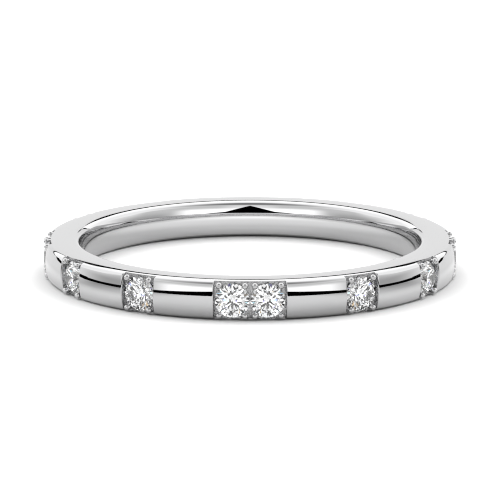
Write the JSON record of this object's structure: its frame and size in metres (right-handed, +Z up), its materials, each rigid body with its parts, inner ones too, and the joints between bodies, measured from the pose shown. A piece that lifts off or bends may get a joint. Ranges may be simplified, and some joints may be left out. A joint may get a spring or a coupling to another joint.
{
  "type": "diamond wedding band",
  "caption": "Slim polished white-metal band with rounded edges and round brilliants in bead settings, in pairs and singles between plain bars.",
  "frame": {"origin": "on the surface that the band rests on, under the middle of the finger hole", "axes": "+Z up along the axis of the finger hole; the pair of stones at the front faces -Y"},
  "size_m": [0.0208, 0.0208, 0.0019],
  "materials": {
    "white_gold": "mirror-polished rhodium-plated white gold",
    "diamond": "clear, polished facets"
  },
  "bodies": {
    "root": {"band": "white_gold", "stone_01": "diamond", "stone_02": "diamond", "stone_03": "diamond", "stone_04": "diamond", "stone_05": "diamond", "stone_06": "diamond", "stone_07": "diamond", "stone_08": "diamond", "stone_09": "diamond", "stone_10": "diamond", "stone_11": "diamond", "stone_12": "diamond", "stone_13": "diamond", "stone_14": "diamond", "stone_15": "diamond", "stone_16": "diamond"}
  },
  "joints": []
}
